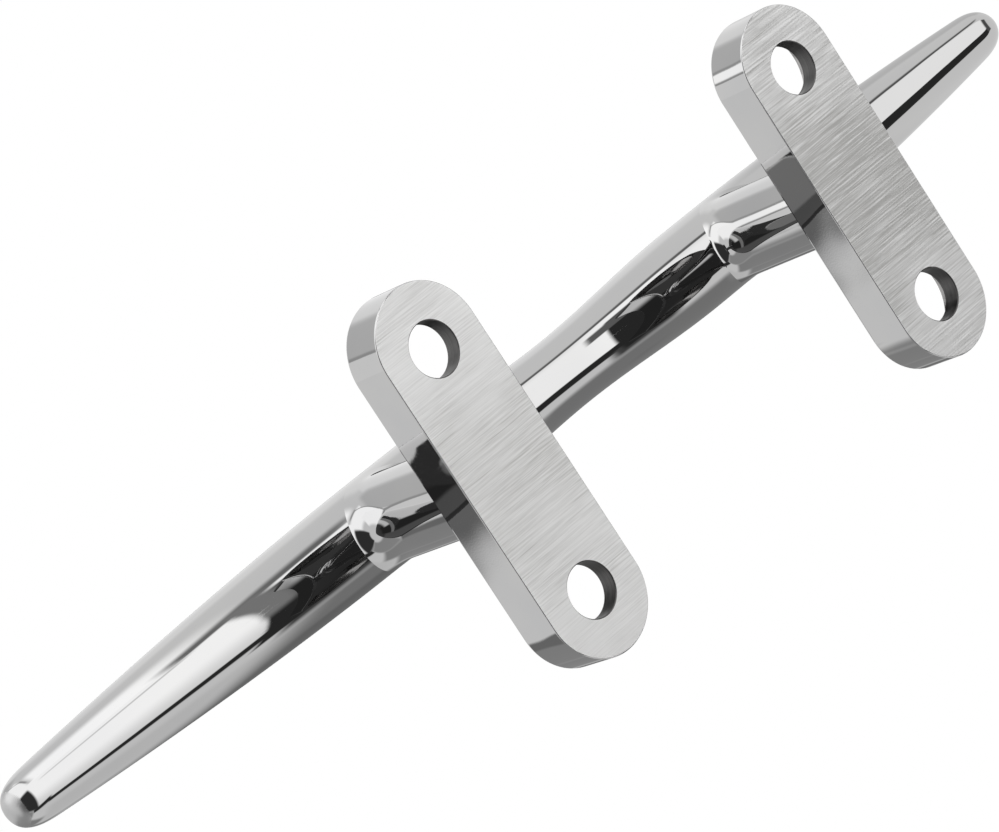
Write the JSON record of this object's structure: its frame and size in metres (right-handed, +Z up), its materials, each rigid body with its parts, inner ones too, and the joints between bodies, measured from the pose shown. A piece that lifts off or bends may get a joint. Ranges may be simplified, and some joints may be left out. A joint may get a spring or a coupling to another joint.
{
  "type": "horn cleat",
  "caption": "Polished stainless horn cleat: a tapered round crossbar with blunt upswept tips on round legs, each standing on its own long round-ended foot with countersunk screw holes.",
  "frame": {"origin": "on the deck plane, under the middle of the horn bar and midway between the feet", "axes": "X along the horn bar, Y along the feet, +Z up from the deck to the bar"},
  "size_m": [0.2534, 0.066, 0.0467],
  "materials": {
    "polished_steel": "mirror-polished stainless steel",
    "ground_steel": "stainless steel with polished edges and a belt-ground sole"
  },
  "bodies": {
    "root": {"horn_bar": "polished_steel", "left_leg": "polished_steel", "right_leg": "polished_steel", "left_foot": "ground_steel", "right_foot": "ground_steel"}
  },
  "joints": []
}
